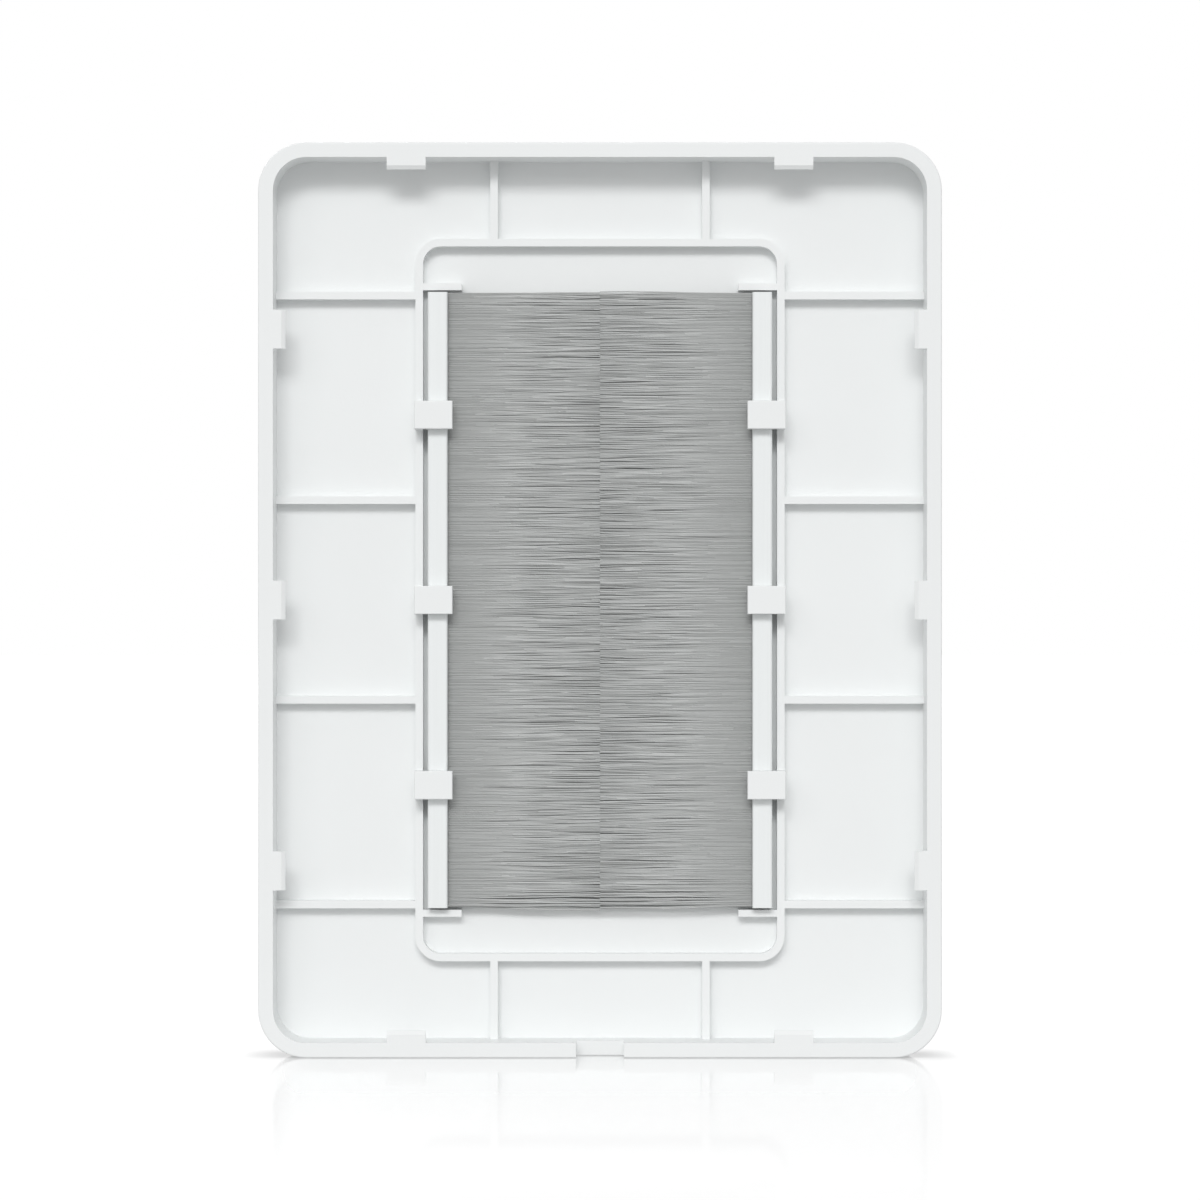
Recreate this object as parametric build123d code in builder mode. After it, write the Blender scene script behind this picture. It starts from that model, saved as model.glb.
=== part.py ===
# Cable pass-through wall plate, in millimetres.
# The cover's rim meets the wall at Y = 0, its front faces -Y and Z is up.
# Two brush strips lie behind the cover's opening, and their bristles meet at X = 0.

import os

from build123d import *

# Cover shell
plate_width = 89.6
plate_height = 120.0
plate_depth = 9.0
plate_corner_radius = 6.3
rim_wall = 1.95
front_panel = 2.0
front_edge_radius = 1.5
rim_edge_radius = 0.2

# Opening that the cables go through
opening_width = 36.6
opening_height = 80.0
opening_corner_radius = 2.0
opening_edge_radius = 0.8

# Brush holders, which lie on the inside of the front panel
holder_width = 2.6
holder_thickness = 3.7
holder_edge_radius = 0.3
holder_ledge = 1.8
holder_overrun = 0.6
slot_depth = 1.5

# Bristles, in tufts on a root bar that fills the holder's slot
bristle_layer = 1.5
root_clearance = 0.05
tuft_pitch = 0.8
tuft_gap = 0.14
tip_clearance = 0.1

# Frame round the brush strips, with a stop beyond each end of a holder
frame_wall = 1.0
frame_rise = 2.0
frame_corner_radius = 3.35
frame_side_gap = 0.7
frame_end_gap = 4.88
stop_wall = 0.92
stop_clearance = 0.35

# Hooks that reach over the holders
hook_length = 3.7
hook_spacing = 24.35
hook_overhang = 0.7
hook_thickness = 1.6
hook_clearance = 0.1
hook_edge_radius = 0.12

# Ribs from the rim to the frame, by their distance from the centre lines
rib_wall = 1.0
rib_rise = 2.0
rib_row_inner = 13.2
rib_row_outer = 40.25
rib_column = 14.0

# Snap tabs inside the rim, by their distance from the centre lines
tab_length = 5.1
tab_reach = 1.6
tab_depth = 2.2
tab_lead_in = 0.5
tab_lead_in_depth = 0.3
tab_catch = 1.6
tab_row = 35.5
tab_column = 25.4

# Pry notch in the lower wall
notch_width = 6.3
notch_depth = 2.8

# Recess inside the rim
recess_width = plate_width - 2 * rim_wall
recess_height = plate_height - 2 * rim_wall
recess_depth = plate_depth - front_panel
recess_corner_radius = plate_corner_radius - rim_wall
floor_plane = Plane.XZ.offset(recess_depth)

# Places across the brush strips, on the +X side
holder_inner_x = opening_width / 2 + holder_ledge
holder_outer_x = holder_inner_x + holder_width
frame_inner_x = holder_outer_x + frame_side_gap
frame_outer_x = frame_inner_x + frame_wall
hook_tip_x = holder_inner_x - hook_overhang

# Places through the depth
holder_y = -recess_depth + holder_thickness / 2
hook_under_y = -recess_depth + holder_thickness + hook_clearance
hook_back_y = hook_under_y + hook_thickness

# Places along the brush strips
holder_length = opening_height + 2 * holder_overrun
stop_inner_z = holder_length / 2 + stop_clearance
frame_inner_z = stop_inner_z + stop_wall + frame_end_gap
frame_outer_z = frame_inner_z + frame_wall

# One hook: a post on the frame wall and an arm over the holder
with BuildPart() as hook:
    with BuildSketch(Plane.XY.offset(-hook_length / 2)):
        with BuildLine():
            Polyline(
                (frame_outer_x, -recess_depth),
                (frame_outer_x, hook_back_y),
                (hook_tip_x, hook_back_y),
                (hook_tip_x, hook_under_y),
                (frame_inner_x, hook_under_y),
                (frame_inner_x, -recess_depth),
                close=True,
            )
        make_face()
    extrude(amount=hook_length)
    fillet(hook.faces().sort_by(Axis.Y)[-1].edges(), hook_edge_radius)

# One snap tab, reaching to -X from a wall face at X = 0, with a lead-in and a sloping catch behind
with BuildPart() as tab:
    with BuildSketch(Plane.XY.offset(-tab_length / 2)):
        with BuildLine():
            Polyline(
                (rim_wall / 2, 0),
                (tab_lead_in - tab_reach, 0),
                (-tab_reach, -tab_lead_in_depth),
                (-tab_reach, tab_catch - tab_depth),
                (0, -tab_depth),
                (rim_wall / 2, -tab_depth),
                close=True,
            )
        make_face()
    extrude(amount=tab_length)

# Places of the hooks and tabs: a half turn about Y gives the other side, a quarter turn the ends
half_turn = (0, 180, 0)
quarter_turn = (0, 90, 0)
quarter_turn_back = (0, -90, 0)
hook_places = []
tab_places = []
for row in (-1, 0, 1):
    hook_places.append(Location((0, 0, row * hook_spacing)))
    hook_places.append(Location((0, 0, row * hook_spacing), half_turn))
    tab_places.append(Location((recess_width / 2, 0, row * tab_row)))
    tab_places.append(Location((-recess_width / 2, 0, row * tab_row), half_turn))
for side in (-1, 1):
    tab_places.append(Location((side * tab_column, 0, recess_height / 2), quarter_turn_back))
    tab_places.append(Location((side * tab_column, 0, -recess_height / 2), quarter_turn))

# Cover plate, one moulding
with BuildPart() as cover_plate:
    with BuildSketch(Plane.XZ):
        RectangleRounded(plate_width, plate_height, plate_corner_radius)
    extrude(amount=plate_depth)
    fillet(cover_plate.faces().sort_by(Axis.Y)[0].edges(), front_edge_radius)
    fillet(cover_plate.faces().sort_by(Axis.Y)[-1].edges(), rim_edge_radius)

    # recess inside the rim, and the opening through the front panel with its front edge rounded
    with BuildSketch(Plane.XZ):
        RectangleRounded(recess_width, recess_height, recess_corner_radius)
    extrude(amount=recess_depth, mode=Mode.SUBTRACT)
    with BuildSketch(floor_plane):
        RectangleRounded(opening_width, opening_height, opening_corner_radius)
    extrude(amount=front_panel, mode=Mode.SUBTRACT)
    fillet(cover_plate.faces().sort_by(Axis.Y)[0].inner_wires()[0].edges(), opening_edge_radius)

    # ribs right across, cut away inside the middle of the frame's wall
    with BuildSketch(floor_plane):
        with GridLocations(0, 2 * rib_row_inner, 1, 2):
            Rectangle(plate_width - rim_wall, rib_wall)
        with GridLocations(0, 2 * rib_row_outer, 1, 2):
            Rectangle(plate_width - rim_wall, rib_wall)
        with GridLocations(2 * rib_column, 0, 2, 1):
            Rectangle(rib_wall, plate_height - rim_wall)
        RectangleRounded(
            frame_inner_x + frame_outer_x,
            frame_inner_z + frame_outer_z,
            frame_corner_radius - frame_wall / 2,
            mode=Mode.SUBTRACT,
        )
    extrude(amount=-rib_rise)

    # frame, and the stops that end in line with the opening's sides
    with BuildSketch(floor_plane):
        RectangleRounded(2 * frame_outer_x, 2 * frame_outer_z, frame_corner_radius)
        RectangleRounded(
            2 * frame_inner_x,
            2 * frame_inner_z,
            frame_corner_radius - frame_wall,
            mode=Mode.SUBTRACT,
        )
        with GridLocations(0, 2 * stop_inner_z + stop_wall, 1, 2):
            Rectangle(frame_inner_x + frame_outer_x, stop_wall)
            Rectangle(opening_width, stop_wall, mode=Mode.SUBTRACT)
    extrude(amount=-frame_rise)

    with Locations(*hook_places):
        add(hook.part)
    with Locations(*tab_places):
        add(tab.part)

    # pry notch, with its foot rounded as the rim's back edge is
    lower_wall_z = rim_wall / 2 - plate_height / 2
    with BuildSketch(Plane.XZ):
        with Locations((0, lower_wall_z)):
            Rectangle(notch_width, rim_wall)
    extrude(amount=notch_depth, mode=Mode.SUBTRACT)
    notch_wall = cover_plate.faces().sort_by_distance((0, -notch_depth, lower_wall_z))[0]
    fillet(notch_wall.edges().sort_by(Axis.Z)[0], rim_edge_radius)

# Brush holder on the +X side, its slot open towards the bristles
with BuildPart() as brush_holder_right:
    with BuildSketch(Plane.XY.offset(-holder_length / 2)):
        with Locations((holder_inner_x + holder_width / 2, holder_y)):
            RectangleRounded(holder_width, holder_thickness, holder_edge_radius)
        with Locations((holder_inner_x + slot_depth / 2, holder_y)):
            Rectangle(slot_depth, bristle_layer + 2 * root_clearance, mode=Mode.SUBTRACT)
    extrude(amount=holder_length)

# Bristles on the +X side: each tuft has six sides, with a ridge along its back and its front
tuft_count = int(holder_length // tuft_pitch)
tuft_half_width = (tuft_pitch - tuft_gap) / 2
tuft_shoulder = bristle_layer / 4
root_length = tuft_count * tuft_pitch
tip_x = tip_clearance / 2
with BuildPart() as bristles_right:
    with BuildSketch(Plane.XY.offset(-root_length / 2)):
        with Locations((holder_inner_x + (slot_depth - root_clearance) / 2, holder_y)):
            Rectangle(slot_depth - root_clearance, bristle_layer)
    extrude(amount=root_length)
    with BuildSketch(Plane.YZ.offset(tip_x)):
        with Locations((holder_y, 0)):
            with GridLocations(0, tuft_pitch, 1, tuft_count):
                Polygon(
                    (-bristle_layer / 2, 0),
                    (-tuft_shoulder, -tuft_half_width),
                    (tuft_shoulder, -tuft_half_width),
                    (bristle_layer / 2, 0),
                    (tuft_shoulder, tuft_half_width),
                    (-tuft_shoulder, tuft_half_width),
                )
    extrude(amount=holder_inner_x - tip_x)

# The strips on the -X side are mirror images
with BuildPart() as brush_holder_left:
    mirror(brush_holder_right.part, about=Plane.YZ)
with BuildPart() as bristles_left:
    mirror(bristles_right.part, about=Plane.YZ)

os.makedirs("parts", exist_ok=True)
cover_plate.part.label = "cover_plate"
export_step(cover_plate.part, "parts/cover_plate.step")
brush_holder_left.part.label = "brush_holder_left"
export_step(brush_holder_left.part, "parts/brush_holder_left.step")
brush_holder_right.part.label = "brush_holder_right"
export_step(brush_holder_right.part, "parts/brush_holder_right.step")
bristles_left.part.label = "bristles_left"
export_step(bristles_left.part, "parts/bristles_left.step")
bristles_right.part.label = "bristles_right"
export_step(bristles_right.part, "parts/bristles_right.step")
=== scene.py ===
# Looks of the cable pass-through wall plate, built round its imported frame
import math

import bpy
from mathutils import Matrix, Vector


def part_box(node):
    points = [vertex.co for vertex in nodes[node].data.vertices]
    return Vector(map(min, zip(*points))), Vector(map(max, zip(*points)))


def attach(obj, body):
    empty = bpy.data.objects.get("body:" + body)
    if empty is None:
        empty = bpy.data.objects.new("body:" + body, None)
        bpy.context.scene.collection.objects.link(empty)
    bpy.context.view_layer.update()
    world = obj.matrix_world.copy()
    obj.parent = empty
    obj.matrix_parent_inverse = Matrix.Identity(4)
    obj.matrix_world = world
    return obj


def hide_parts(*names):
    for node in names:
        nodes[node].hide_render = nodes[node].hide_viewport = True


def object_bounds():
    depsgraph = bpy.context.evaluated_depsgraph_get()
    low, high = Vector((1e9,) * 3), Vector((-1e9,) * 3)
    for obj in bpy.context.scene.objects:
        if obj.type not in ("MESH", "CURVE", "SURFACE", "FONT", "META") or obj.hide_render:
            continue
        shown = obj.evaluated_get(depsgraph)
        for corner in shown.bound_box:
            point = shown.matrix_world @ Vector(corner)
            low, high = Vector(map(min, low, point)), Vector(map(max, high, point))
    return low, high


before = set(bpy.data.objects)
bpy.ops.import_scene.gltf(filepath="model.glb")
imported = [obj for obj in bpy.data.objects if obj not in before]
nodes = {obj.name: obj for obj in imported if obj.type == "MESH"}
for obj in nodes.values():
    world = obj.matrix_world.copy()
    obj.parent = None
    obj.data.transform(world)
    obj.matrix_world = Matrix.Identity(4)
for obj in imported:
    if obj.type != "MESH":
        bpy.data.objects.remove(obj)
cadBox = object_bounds()
plateLow, plateHigh = cadBox
mm = 0.001
print("frame loaded:", ", ".join(sorted(nodes)))


def linearColour(hexCode):
    # an sRGB hex colour as the linear values that sockets take
    channels = [int(hexCode[start:start + 2], 16) / 255 for start in (1, 3, 5)]
    return [c / 12.92 if c <= 0.04045 else ((c + 0.055) / 1.055) ** 2.4 for c in channels] + [1.0]


def addNode(tree, kind, inputs=None, **settings):
    # one node with its settings, and each input either set or linked from another node's output
    node = tree.nodes.new(kind)
    for name, value in settings.items():
        setattr(node, name, value)
    for name, value in (inputs or {}).items():
        if isinstance(value, bpy.types.NodeSocket):
            tree.links.new(value, node.inputs[name])
        else:
            node.inputs[name].default_value = value
    return node


def emptyMaterial(name):
    material = bpy.data.materials.new(name)
    material.use_nodes = True
    material.node_tree.nodes.clear()
    return material, material.node_tree


def raysOfSight(tree):
    # 1 for what the camera sees, straight or in a gloss or through glass, and 0 for light on the object
    rays = addNode(tree, "ShaderNodeLightPath").outputs
    seen = addNode(tree, "ShaderNodeMath", {
        0: rays["Is Camera Ray"], 1: rays["Is Glossy Ray"]}, operation="MAXIMUM").outputs[0]
    return addNode(tree, "ShaderNodeMath", {
        0: seen, 1: rays["Is Transmission Ray"]}, operation="MAXIMUM").outputs[0]


# Moulded ABS of the cover: a matt skin from a spark-eroded mould, so highlights are broad and soft
coverFinish = {
    "white": "#EFF1F1",
    "whiteDrift": "#ECEEEE",  # where the melt cooled last, a hair greyer
    "driftSize": 22.0,  # mm
    "gritSize": 0.35,  # mm; the real grit is near 0.05 mm, too fine to show
    "gritHeight": 0.006,  # mm
    "roughness": (0.44, 0.54),
    "ior": 1.54,
}


def mouldedAbs(finish):
    material, tree = emptyMaterial("mouldedAbs")
    place = addNode(tree, "ShaderNodeTexCoord").outputs["Object"]
    grit = addNode(tree, "ShaderNodeTexNoise", {
        "Vector": place, "Scale": 1 / (finish["gritSize"] * mm), "Detail": 2.0})
    drift = addNode(tree, "ShaderNodeTexNoise", {
        "Vector": place, "Scale": 1 / (finish["driftSize"] * mm), "Detail": 2.0})
    colour = addNode(tree, "ShaderNodeMix", {
        "Factor": drift.outputs["Fac"],
        6: linearColour(finish["white"]), 7: linearColour(finish["whiteDrift"])}, data_type="RGBA")
    roughness = addNode(tree, "ShaderNodeMapRange", {
        "Value": grit.outputs["Fac"], "To Min": finish["roughness"][0], "To Max": finish["roughness"][1]})
    bump = addNode(tree, "ShaderNodeBump", {
        "Height": grit.outputs["Fac"], "Strength": 1.0, "Distance": finish["gritHeight"] * mm})
    shader = addNode(tree, "ShaderNodeBsdfPrincipled", {
        "Base Color": colour.outputs[2], "Roughness": roughness.outputs["Result"],
        "IOR": finish["ior"], "Normal": bump.outputs["Normal"]})
    addNode(tree, "ShaderNodeOutputMaterial", {"Surface": shader.outputs["BSDF"]})
    return material


# Extruded PVC of the brush holders: smoother than the cover, with faint draw lines along the strip
holderFinish = {
    "white": "#EFF2F2",
    "lineTint": "#EAEDED",
    "lineSpacing": 0.4,  # mm; real draw lines are finer, too fine to show
    "lineLength": 30.0,  # mm
    "lineHeight": 0.004,  # mm
    "roughness": 0.38,
    "ior": 1.53,
}


def extrudedPvc(finish):
    material, tree = emptyMaterial("extrudedPvc")
    place = addNode(tree, "ShaderNodeTexCoord").outputs["Object"]
    acrossLine, alongLine = 1 / (finish["lineSpacing"] * mm), 1 / (finish["lineLength"] * mm)
    stretched = addNode(tree, "ShaderNodeMapping", {
        "Vector": place, "Scale": (acrossLine, acrossLine, alongLine)})
    lines = addNode(tree, "ShaderNodeTexNoise", {"Vector": stretched.outputs["Vector"], "Scale": 1.0})
    colour = addNode(tree, "ShaderNodeMix", {
        "Factor": lines.outputs["Fac"],
        6: linearColour(finish["white"]), 7: linearColour(finish["lineTint"])}, data_type="RGBA")
    bump = addNode(tree, "ShaderNodeBump", {
        "Height": lines.outputs["Fac"], "Strength": 1.0, "Distance": finish["lineHeight"] * mm})
    shader = addNode(tree, "ShaderNodeBsdfPrincipled", {
        "Base Color": colour.outputs[2], "Roughness": finish["roughness"],
        "IOR": finish["ior"], "Normal": bump.outputs["Normal"]})
    addNode(tree, "ShaderNodeOutputMaterial", {"Surface": shader.outputs["BSDF"]})
    return material


# Drawn nylon of the bristles: grey filaments that each catch a thin line of light
filamentFinish = {
    "paintedShadeGreys": {  # painted light and shade along the filaments, by the share of the way from the slot to the tip: darker at the slot and the tips, lighter along the middle
        0.0: "#AAACAB", 0.25: "#B5B7B6", 0.45: "#C0C2C1", 0.7: "#BFC1C0", 1.0: "#B9BBBA"},
    "shades": (0.92, 1.08),  # of the grey at the tip, from the darkest filament to the lightest
    "roughness": 0.42,
    "ior": 1.53,
}


def drawnNylon(finish):
    material, tree = emptyMaterial("drawnNylon")
    shade = addNode(tree, "ShaderNodeAttribute", attribute_name="filamentShade").outputs["Fac"]
    reach = addNode(tree, "ShaderNodeAttribute", attribute_name="filamentReach").outputs["Fac"]
    # painted light and shade: the grey is darker at the slot and the tips, lighter along the middle
    paintedShadeGreys = addNode(tree, "ShaderNodeValToRGB", {"Fac": reach})
    stops = paintedShadeGreys.color_ramp.elements
    stops.remove(stops[1])
    for place, grey in finish["paintedShadeGreys"].items():
        stop = stops[0] if place == 0.0 else stops.new(place)
        stop.color = linearColour(grey)
    tipShade = addNode(tree, "ShaderNodeMapRange", {
        "Value": shade, "To Min": finish["shades"][0], "To Max": finish["shades"][1]})
    ownShade = addNode(tree, "ShaderNodeMix", {
        0: reach, 2: 1.0, 3: tipShade.outputs["Result"]}, data_type="FLOAT")  # none at the slot
    colour = addNode(tree, "ShaderNodeHueSaturation", {
        "Color": paintedShadeGreys.outputs["Color"], "Value": ownShade.outputs[0]})
    shader = addNode(tree, "ShaderNodeBsdfPrincipled", {
        "Base Color": colour.outputs["Color"], "Roughness": finish["roughness"], "IOR": finish["ior"]})
    addNode(tree, "ShaderNodeOutputMaterial", {"Surface": shader.outputs["BSDF"]})
    return material


def dress(nodeName, material):
    mesh = nodes[nodeName].data
    mesh.materials.clear()
    mesh.materials.append(material)


dress("cover_plate", mouldedAbs(coverFinish))
holderMaterial = extrudedPvc(holderFinish)
for side in ("left", "right"):
    dress("brush_holder_" + side, holderMaterial)
nylon = drawnNylon(filamentFinish)
print("finishes made:", ", ".join(material.name for material in bpy.data.materials if material.users))


# Bristles: rows of loose filaments from each holder's slot to the centre line, bunched towards their tips
bristleLayer = {
    "rows": 4,  # through the layer
    "columns": 600,  # up the strip
    "diameter": 0.19,  # mm
    "shuffle": (0.05, 0.12),  # of a row and of a column, at the roots
    "looseFrom": 0.72,  # of the free length, from where filaments lie fully loose
    "fray": (-0.4, 0.2),  # mm that tips may stand out beyond the strip's lower and upper end
    "frayHeight": 2.5,  # mm of the strip's height that frays at each end
    "sides": 3,  # of a filament, which smooth shading rounds
    "points": 13,  # along a filament
    "bunchSpacing": (0.5, 0.6),  # mm, up the strip and through the layer
    "bunchLength": 11.0,  # mm, along the filaments
    "bunchSway": (0.4, 0.58),  # mm through the layer and up the strip, where loose
    "strayLength": 9.0,  # mm along a filament from bend to bend
    "stray": (0.3, 0.3),  # mm through the layer and up the strip, of a filament by itself
    "seed": {"left": 3, "right": 8},
}


def bristleTree():
    tree = bpy.data.node_groups.new("bristleFilaments", "GeometryNodeTree")
    tree.interface.new_socket(name="Geometry", in_out="OUTPUT", socket_type="NodeSocketGeometry")
    for name in ("Rows", "Columns", "Sides", "Points", "Seed"):
        tree.interface.new_socket(name=name, in_out="INPUT", socket_type="NodeSocketInt")
    for name in ("Root", "Mouth", "Loose", "Tip", "Diameter", "Roll", "Stray Length",
                 "Fray Height", "Lower Fray", "Upper Fray"):
        tree.interface.new_socket(name=name, in_out="INPUT", socket_type="NodeSocketFloat")
    for name in ("Low Corner", "High Corner", "Shuffle", "Bunch Size", "Sway", "Stray"):
        tree.interface.new_socket(name=name, in_out="INPUT", socket_type="NodeSocketVector")
    tree.interface.new_socket(name="Material", in_out="INPUT", socket_type="NodeSocketMaterial")
    sizes = addNode(tree, "NodeGroupInput").outputs

    # roots in staggered rows, packed as closely as the filaments are thick, each a little off its place
    index = addNode(tree, "GeometryNodeInputIndex").outputs["Index"]
    count = addNode(tree, "ShaderNodeMath", {0: sizes["Rows"], 1: sizes["Columns"]}, operation="MULTIPLY")
    row = addNode(tree, "ShaderNodeMath", {0: index, 1: sizes["Rows"]}, operation="MODULO").outputs[0]
    turns = addNode(tree, "ShaderNodeMath", {0: index, 1: sizes["Rows"]}, operation="DIVIDE").outputs[0]
    column = addNode(tree, "ShaderNodeMath", {0: turns}, operation="FLOOR").outputs[0]
    oddRow = addNode(tree, "ShaderNodeMath", {0: row, 1: 2.0}, operation="MODULO").outputs[0]
    stagger = addNode(tree, "ShaderNodeMath", {
        0: oddRow, 1: 0.5, 2: 0.25}, operation="MULTIPLY_ADD").outputs[0]  # odd rows lie half a column on
    offPlace = addNode(tree, "FunctionNodeRandomValue", {
        0: (-1.0, -1.0, -1.0), 1: (1.0, 1.0, 1.0),
        "ID": index, "Seed": sizes["Seed"]}, data_type="FLOAT_VECTOR")
    ofRow = addNode(tree, "ShaderNodeCombineXYZ", {"Y": row, "Z": column})
    ofStagger = addNode(tree, "ShaderNodeCombineXYZ", {"Y": 0.5, "Z": stagger})
    cell = addNode(tree, "ShaderNodeVectorMath", {
        0: ofRow.outputs["Vector"], 1: ofStagger.outputs["Vector"]}, operation="ADD").outputs[0]
    cell = addNode(tree, "ShaderNodeVectorMath", {
        0: offPlace.outputs[0], 1: sizes["Shuffle"], 2: cell}, operation="MULTIPLY_ADD").outputs[0]
    cells = addNode(tree, "ShaderNodeCombineXYZ", {"X": 1.0, "Y": sizes["Rows"], "Z": sizes["Columns"]})
    share = addNode(tree, "ShaderNodeVectorMath", {0: cell, 1: cells.outputs["Vector"]}, operation="DIVIDE")
    span = addNode(tree, "ShaderNodeVectorMath", {
        0: sizes["High Corner"], 1: sizes["Low Corner"]}, operation="SUBTRACT")
    rootPlace = addNode(tree, "ShaderNodeVectorMath", {
        0: share.outputs[0], 1: span.outputs[0], 2: sizes["Low Corner"]}, operation="MULTIPLY_ADD")
    roots = addNode(tree, "GeometryNodePoints", {
        "Count": count.outputs[0], "Position": rootPlace.outputs[0]})

    # one straight filament on each root
    start = addNode(tree, "ShaderNodeCombineXYZ", {"X": sizes["Root"]})
    end = addNode(tree, "ShaderNodeCombineXYZ", {"X": sizes["Tip"]})
    line = addNode(tree, "GeometryNodeCurvePrimitiveLine", {
        "Start": start.outputs["Vector"], "End": end.outputs["Vector"]})
    filament = addNode(tree, "GeometryNodeResampleCurve", {
        "Curve": line.outputs["Curve"], "Count": sizes["Points"]})
    planted = addNode(tree, "GeometryNodeInstanceOnPoints", {
        "Points": roots.outputs["Points"], "Instance": filament.outputs["Curve"]})
    strands = addNode(tree, "GeometryNodeRealizeInstances", {"Geometry": planted.outputs["Instances"]})

    # free of the slot, a filament sways with its neighbours and strays a little by itself
    place = addNode(tree, "GeometryNodeInputPosition").outputs["Position"]
    along = addNode(tree, "ShaderNodeSeparateXYZ", {0: place}).outputs["X"]
    share = addNode(tree, "ShaderNodeMapRange", {
        "Value": along, "From Min": sizes["Mouth"], "From Max": sizes["Tip"]}).outputs["Result"]
    reach = addNode(tree, "ShaderNodeMapRange", {
        "Value": along, "From Min": sizes["Mouth"], "From Max": sizes["Loose"]},
        interpolation_type="SMOOTHSTEP").outputs["Result"]
    strand = addNode(tree, "GeometryNodeCurveOfPoint").outputs["Curve Index"]
    bunchPlace = addNode(tree, "ShaderNodeVectorMath", {
        0: place, 1: sizes["Bunch Size"]}, operation="DIVIDE")
    bunch = addNode(tree, "ShaderNodeTexNoise", {
        "Vector": bunchPlace.outputs[0], "W": sizes["Seed"], "Scale": 1.0, "Detail": 1.0},
        noise_dimensions="4D")
    lean = addNode(tree, "ShaderNodeVectorMath", {
        0: bunch.outputs["Color"], 1: (0.5, 0.5, 0.5)}, operation="SUBTRACT")
    bends = addNode(tree, "ShaderNodeMath", {0: along, 1: sizes["Stray Length"]}, operation="DIVIDE")
    strandPlace = addNode(tree, "ShaderNodeCombineXYZ", {"X": bends.outputs[0], "Y": strand})
    wander = addNode(tree, "ShaderNodeTexNoise", {
        "Vector": strandPlace.outputs["Vector"], "W": sizes["Seed"], "Scale": 1.0, "Detail": 0.0},
        noise_dimensions="4D")
    stray = addNode(tree, "ShaderNodeVectorMath", {
        0: wander.outputs["Color"], 1: (0.5, 0.5, 0.5)}, operation="SUBTRACT")
    strayed = addNode(tree, "ShaderNodeVectorMath", {
        0: stray.outputs[0], 1: sizes["Stray"]}, operation="MULTIPLY")
    swayed = addNode(tree, "ShaderNodeVectorMath", {
        0: lean.outputs[0], 1: sizes["Sway"], 2: strayed.outputs[0]}, operation="MULTIPLY_ADD")

    # the outermost filaments fray, each by its own amount
    height = addNode(tree, "ShaderNodeSeparateXYZ", {0: place}).outputs["Z"]
    lowEnd = addNode(tree, "ShaderNodeSeparateXYZ", {0: sizes["Low Corner"]}).outputs["Z"]
    highEnd = addNode(tree, "ShaderNodeSeparateXYZ", {0: sizes["High Corner"]}).outputs["Z"]
    lowStart = addNode(tree, "ShaderNodeMath", {
        0: lowEnd, 1: sizes["Fray Height"]}, operation="ADD").outputs[0]
    highStart = addNode(tree, "ShaderNodeMath", {
        0: highEnd, 1: sizes["Fray Height"]}, operation="SUBTRACT").outputs[0]
    lowFray = addNode(tree, "ShaderNodeMapRange", {
        "Value": height, "From Min": lowStart, "From Max": lowEnd,
        "To Min": 0.0, "To Max": sizes["Lower Fray"]})
    highFray = addNode(tree, "ShaderNodeMapRange", {
        "Value": height, "From Min": highStart, "From Max": highEnd,
        "To Min": 0.0, "To Max": sizes["Upper Fray"]})
    fray = addNode(tree, "ShaderNodeMath", {
        0: lowFray.outputs["Result"], 1: highFray.outputs["Result"]}, operation="ADD").outputs[0]
    chance = addNode(tree, "FunctionNodeRandomValue", {
        "ID": strand, "Seed": sizes["Seed"]}, data_type="FLOAT").outputs[1]
    amount = addNode(tree, "ShaderNodeMath", {
        0: chance, 1: 2.0}, operation="POWER").outputs[0]  # few filaments fray far
    ownFray = addNode(tree, "ShaderNodeMath", {0: fray, 1: amount}, operation="MULTIPLY").outputs[0]
    frayed = addNode(tree, "ShaderNodeCombineXYZ", {"Z": ownFray})
    swayed = addNode(tree, "ShaderNodeVectorMath", {
        0: swayed.outputs[0], 1: frayed.outputs["Vector"]}, operation="ADD")
    moved = addNode(tree, "ShaderNodeVectorMath", {
        0: swayed.outputs[0], "Scale": reach}, operation="SCALE")
    loose = addNode(tree, "GeometryNodeSetPosition", {
        "Geometry": strands.outputs["Geometry"], "Offset": moved.outputs[0]})

    # what the nylon reads: a shade for each filament, and how far along it a point lies
    shade = addNode(tree, "FunctionNodeRandomValue", {
        "ID": strand, "Seed": sizes["Seed"]}, data_type="FLOAT")
    shaded = addNode(tree, "GeometryNodeStoreNamedAttribute", {
        "Geometry": loose.outputs["Geometry"], "Name": "filamentShade", "Value": shade.outputs[1]})
    reached = addNode(tree, "GeometryNodeStoreNamedAttribute", {
        "Geometry": shaded.outputs["Geometry"], "Name": "filamentReach", "Value": share})

    radius = addNode(tree, "ShaderNodeMath", {0: sizes["Diameter"], 1: 0.5}, operation="MULTIPLY")
    section = addNode(tree, "GeometryNodeCurvePrimitiveCircle", {
        "Resolution": sizes["Sides"], "Radius": radius.outputs[0]})
    rolled = addNode(tree, "GeometryNodeSetCurveTilt", {
        "Curve": reached.outputs["Geometry"], "Tilt": sizes["Roll"]})
    skinned = addNode(tree, "GeometryNodeCurveToMesh", {
        "Curve": rolled.outputs["Curve"], "Profile Curve": section.outputs["Curve"], "Fill Caps": True})
    smooth = addNode(tree, "GeometryNodeSetShadeSmooth", {"Geometry": skinned.outputs["Mesh"]})
    whole = addNode(tree, "GeometryNodeRealizeInstances", {"Geometry": smooth.outputs["Geometry"]})
    finished = addNode(tree, "GeometryNodeSetMaterial", {
        "Geometry": whole.outputs["Geometry"], "Material": sizes["Material"]})
    addNode(tree, "NodeGroupOutput", {"Geometry": finished.outputs["Geometry"]})
    return tree


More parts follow.
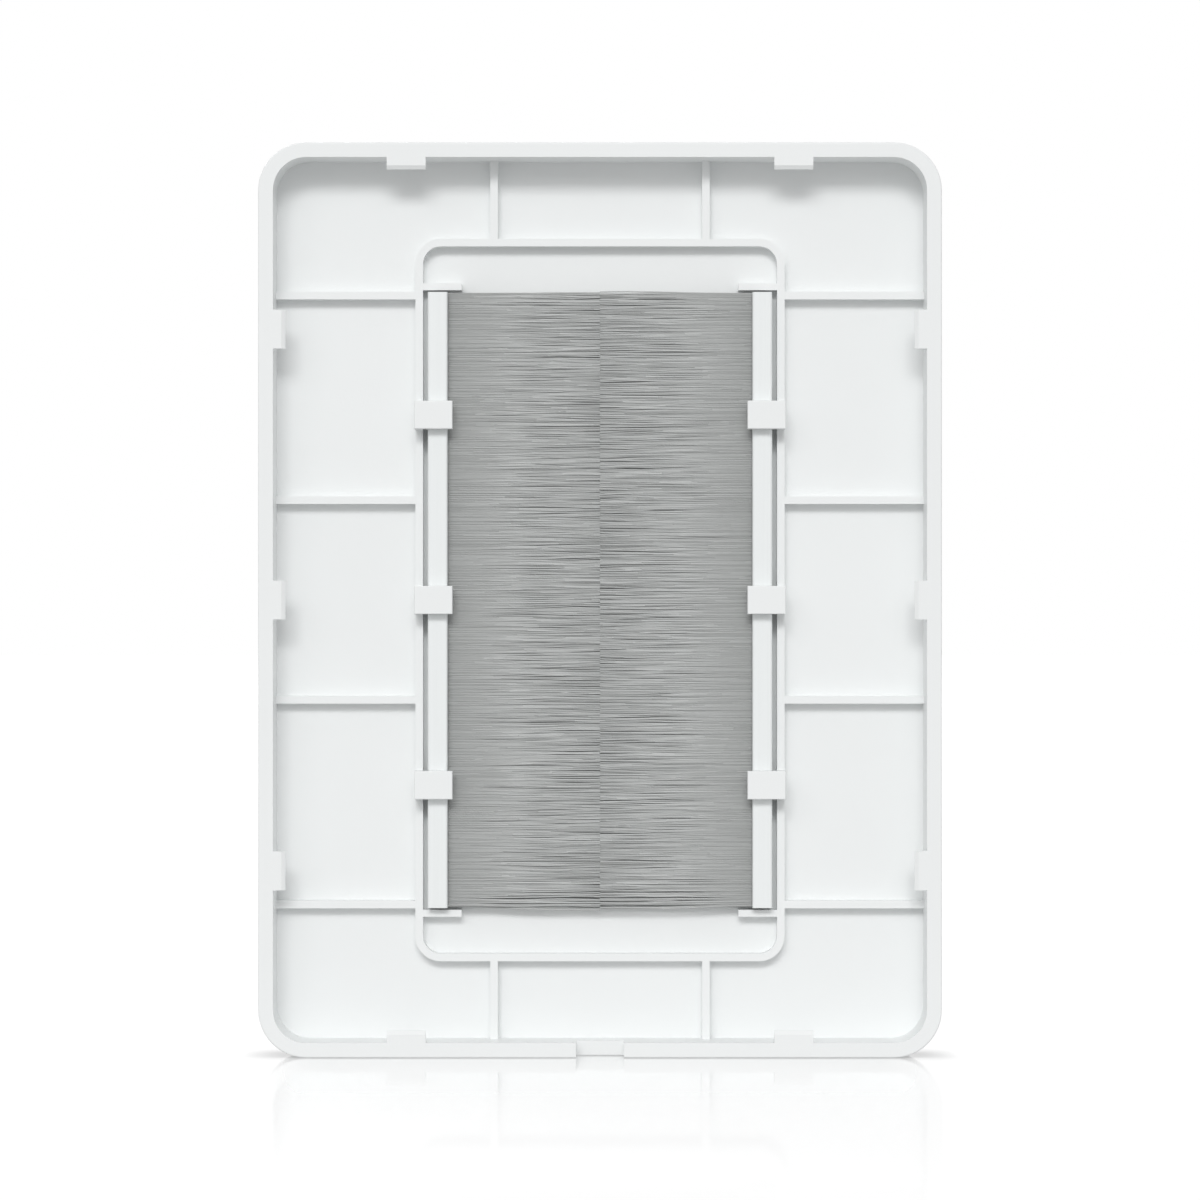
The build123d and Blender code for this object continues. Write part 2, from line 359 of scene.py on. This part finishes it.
def growBristles(side, tree, layer):
    low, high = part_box("bristles_" + side)
    holderLow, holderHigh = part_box("brush_holder_" + side)
    onRight = side == "right"
    radius = layer["diameter"] * mm / 2  # keeps the round filaments inside the layer
    depthSway, heightSway = (sway * mm for sway in layer["bunchSway"])
    depthStray, heightStray = (stray * mm for stray in layer["stray"])
    heightSpacing, depthSpacing = (spacing * mm for spacing in layer["bunchSpacing"])
    mouth = holderLow.x if onRight else holderHigh.x
    values = {
        "Rows": layer["rows"],
        "Columns": layer["columns"],
        "Sides": layer["sides"],
        "Points": layer["points"],
        "Seed": layer["seed"][side],
        "Root": high.x if onRight else low.x,
        "Mouth": mouth,
        "Loose": mouth * (1 - layer["looseFrom"]),
        "Tip": 0.0,
        "Diameter": layer["diameter"] * mm,
        "Roll": math.pi if onRight else 0.0,  # turns the same side of the filaments to the back
        "Stray Length": layer["strayLength"] * mm,
        "Fray Height": layer["frayHeight"] * mm,
        "Lower Fray": layer["fray"][0] * mm,
        "Upper Fray": layer["fray"][1] * mm,
        "Low Corner": (0.0, low.y + radius, holderLow.z + radius),
        "High Corner": (0.0, high.y - radius, holderHigh.z - radius),
        "Shuffle": (0.0, *layer["shuffle"]),
        "Bunch Size": (layer["bunchLength"] * mm, depthSpacing, heightSpacing),
        "Sway": (0.0, depthSway, heightSway),
        "Stray": (0.0, depthStray, heightStray),
        "Material": nylon,
    }
    piece = bpy.data.objects.new("filaments_" + side, bpy.data.meshes.new("filaments_" + side))
    bpy.context.scene.collection.objects.link(piece)
    grower = piece.modifiers.new("filaments", "NODES")
    grower.node_group = tree
    for socket in tree.interface.items_tree:
        if socket.in_out == "INPUT":
            grower[socket.identifier] = values[socket.name]
    grown = piece.evaluated_get(bpy.context.evaluated_depsgraph_get())
    plain = bpy.data.meshes.new_from_object(grown)
    piece.modifiers.remove(grower)
    piece.data = plain
    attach(piece, "root")
    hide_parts("bristles_" + side)
    return piece


filamentTree = bristleTree()
for side in ("left", "right"):
    grown = growBristles(side, filamentTree, bristleLayer)
    print("grown:", grown.name, len(grown.data.polygons), "faces")


# Floor: a white sheet, with a sheen that mirrors the plate close to it and soon fades
floorSheet = {
    "reach": 4.0,  # m, to each side
    "white": "#7C7C7C",  # the part of its white that takes the plate's shadow
    "glow": (0.855, 1.0),  # the rest, which the camera and reflections see, at the plate and far off
    "glowSpread": (0.2, 0.8),  # m from the plate's middle between the two
    "paintedShadowReach": 4.8,  # mm round the plate over which a painted contact shadow darkens the glow
    "paintedShadowGlow": 0.42,  # share of the glow left in the painted contact shadow, where the plate hides all of the sheet
    "upGlow": (0.55, 0.42),  # a painted glow that only light on the plate sees, in place of what the sheet throws back up, at the plate and far off
    "upGlowSpread": (0.06, 0.2),  # m from the plate's middle between the two
    "mirror": 1.21,  # strength of the reflection at the plate, before a look from above weakens it
    "mirrorGraze": 3.0,  # how fast it weakens as the look gets steeper
    "mirrorFade": 50.0,  # mm from the plate
    "mirrorEnds": (36.0, 46.0),  # mm from the plate's middle where the reflection ends at each side
    "mirrorRoughness": 0.06,
}


def whiteSheet(finish):
    material, tree = emptyMaterial("whiteSheet")
    sheet = addNode(tree, "ShaderNodeBsdfDiffuse", {"Color": linearColour(finish["white"])})
    # painted contact shadow: the glow that the camera sees is darkened where the plate hides the sheet
    # round its foot
    clear = addNode(tree, "ShaderNodeAmbientOcclusion", {"Distance": finish["paintedShadowReach"] * mm}).outputs["AO"]
    place = addNode(tree, "ShaderNodeTexCoord").outputs["Object"]
    spread = addNode(tree, "ShaderNodeVectorMath", {0: place}, operation="LENGTH").outputs["Value"]
    glow = addNode(tree, "ShaderNodeMapRange", {
        "Value": spread, "From Min": finish["glowSpread"][0], "From Max": finish["glowSpread"][1],
        "To Min": finish["glow"][0], "To Max": finish["glow"][1]}).outputs["Result"]
    clear = addNode(tree, "ShaderNodeMapRange", {
        "Value": clear, "To Min": finish["paintedShadowGlow"], "To Max": 1.0}).outputs["Result"]
    glow = addNode(tree, "ShaderNodeMath", {0: clear, 1: glow}, operation="MULTIPLY").outputs[0]
    light = addNode(tree, "ShaderNodeEmission", {"Strength": glow})
    bright = addNode(tree, "ShaderNodeAddShader", {0: sheet.outputs[0], 1: light.outputs[0]})
    mirror = addNode(tree, "ShaderNodeBsdfGlossy", {
        "Color": linearColour("#FFFFFF"), "Roughness": finish["mirrorRoughness"]})
    apart = addNode(tree, "ShaderNodeSeparateXYZ", {0: place}).outputs
    away = addNode(tree, "ShaderNodeMath", {0: apart["Y"]}, operation="ABSOLUTE").outputs[0]
    aside = addNode(tree, "ShaderNodeMath", {0: apart["X"]}, operation="ABSOLUTE").outputs[0]
    ends = addNode(tree, "ShaderNodeMapRange", {
        "Value": aside, "From Min": finish["mirrorEnds"][0] * mm, "From Max": finish["mirrorEnds"][1] * mm,
        "To Min": finish["mirror"], "To Max": 0.0}, interpolation_type="SMOOTHSTEP").outputs["Result"]
    fade = addNode(tree, "ShaderNodeMath", {
        0: away, 1: -1 / (finish["mirrorFade"] * mm)}, operation="MULTIPLY").outputs[0]
    fade = addNode(tree, "ShaderNodeMath", {0: fade}, operation="EXPONENT").outputs[0]
    level = addNode(tree, "ShaderNodeLayerWeight", {"Blend": 0.5}).outputs["Facing"]
    graze = addNode(tree, "ShaderNodeMath", {
        0: level, 1: finish["mirrorGraze"]}, operation="POWER").outputs[0]
    share = addNode(tree, "ShaderNodeMath", {0: fade, 1: ends}, operation="MULTIPLY").outputs[0]
    share = addNode(tree, "ShaderNodeMath", {0: share, 1: graze}, operation="MULTIPLY").outputs[0]
    shown = addNode(tree, "ShaderNodeMixShader", {0: share, 1: bright.outputs[0], 2: mirror.outputs[0]})
    # painted glow from the sheet, lighting the plate in place of light thrown back up
    upGlow = addNode(tree, "ShaderNodeMapRange", {
        "Value": spread, "From Min": finish["upGlowSpread"][0], "From Max": finish["upGlowSpread"][1],
        "To Min": finish["upGlow"][0], "To Max": finish["upGlow"][1]}).outputs["Result"]
    upward = addNode(tree, "ShaderNodeEmission", {"Strength": upGlow})
    surface = addNode(tree, "ShaderNodeMixShader", {
        0: raysOfSight(tree), 1: upward.outputs[0], 2: shown.outputs[0]})
    addNode(tree, "ShaderNodeOutputMaterial", {"Surface": surface.outputs[0]})
    return material


def layFloor(sheet):
    reach, height = sheet["reach"], plateLow.z
    mesh = bpy.data.meshes.new("floorSheet")
    corners = [(x * reach, y * reach, height) for x, y in ((-1, -1), (1, -1), (1, 1), (-1, 1))]
    mesh.from_pydata(corners, [], [(0, 1, 2, 3)])
    mesh.materials.append(whiteSheet(sheet))
    floor = bpy.data.objects.new("floorSheet", mesh)
    bpy.context.scene.collection.objects.link(floor)


layFloor(floorSheet)
print("floor laid at", round(plateLow.z / mm, 2), "mm")


# Light: a soft box above the camera with a wider, weaker one round it, one for the front, and the room
studio = {
    "room": 0.53,  # strength of the even light
    "background": 1.0,  # what the camera and reflections see
    "boxes": {  # turn and rise in degrees, distance and size in m, power in W
        "backSoftBox": {"turn": 4.0, "rise": 28.0, "distance": 8.0, "size": (3.4, 1.55), "power": 214.0},
        "wideSoftBox": {"turn": 10.0, "rise": 26.0, "distance": 8.0, "size": (9.0, 3.7), "power": 132.0},
        "frontSoftBox": {"turn": 160.0, "rise": 27.0, "distance": 3.0, "size": (2.0, 0.8), "power": 50.0},
    },
}


def lightRoom(light):
    world = bpy.data.worlds.new("room")
    world.use_nodes = True
    tree = world.node_tree
    tree.nodes.clear()
    strength = addNode(tree, "ShaderNodeMapRange", {
        "Value": raysOfSight(tree), "To Min": light["room"], "To Max": light["background"]})
    even = addNode(tree, "ShaderNodeBackground", {
        "Color": linearColour("#FFFFFF"), "Strength": strength.outputs["Result"]})
    addNode(tree, "ShaderNodeOutputWorld", {"Surface": even.outputs["Background"]})
    bpy.context.scene.world = world


def hangSoftBox(name, box):
    # turn is from +Y towards +X and rise is from level, both in degrees
    turn, rise = math.radians(box["turn"]), math.radians(box["rise"])
    lamp = bpy.data.lights.new(name, "AREA")
    lamp.shape = "RECTANGLE"
    lamp.size, lamp.size_y = box["size"]
    lamp.energy = box["power"]
    stand = bpy.data.objects.new(name, lamp)
    stand.location = (
        box["distance"] * math.cos(rise) * math.sin(turn),
        box["distance"] * math.cos(rise) * math.cos(turn),
        box["distance"] * math.sin(rise),
    )
    stand.rotation_euler = stand.location.to_track_quat("Z", "Y").to_euler()
    bpy.context.scene.collection.objects.link(stand)


lightRoom(studio)
for name, box in studio["boxes"].items():
    hangSoftBox(name, box)
print("lights hung:", ", ".join(studio["boxes"]))


# Camera: level with the plate's middle, square on to its back
photoView = {
    "distance": 560.0,  # mm, from the rim's back
    "frameWidth": 157.2,  # mm seen across at the rim's back
    "sensor": 36.0,  # mm
    "clip": (0.01, 50.0),  # m, nearest and farthest seen
}


def setCamera(view):
    camera = bpy.data.cameras.new("photoView")
    camera.sensor_width = view["sensor"]
    camera.lens = view["sensor"] * view["distance"] / view["frameWidth"]
    camera.clip_start, camera.clip_end = view["clip"]
    stand = bpy.data.objects.new("photoView", camera)
    middle = (plateLow + plateHigh) / 2
    stand.location = (middle.x, plateHigh.y + view["distance"] * mm, middle.z)
    stand.rotation_euler = (math.pi / 2, 0.0, math.pi)
    bpy.context.scene.collection.objects.link(stand)
    bpy.context.scene.camera = stand


setCamera(photoView)
bpy.context.scene.view_settings.view_transform = "Standard"
print("camera set")
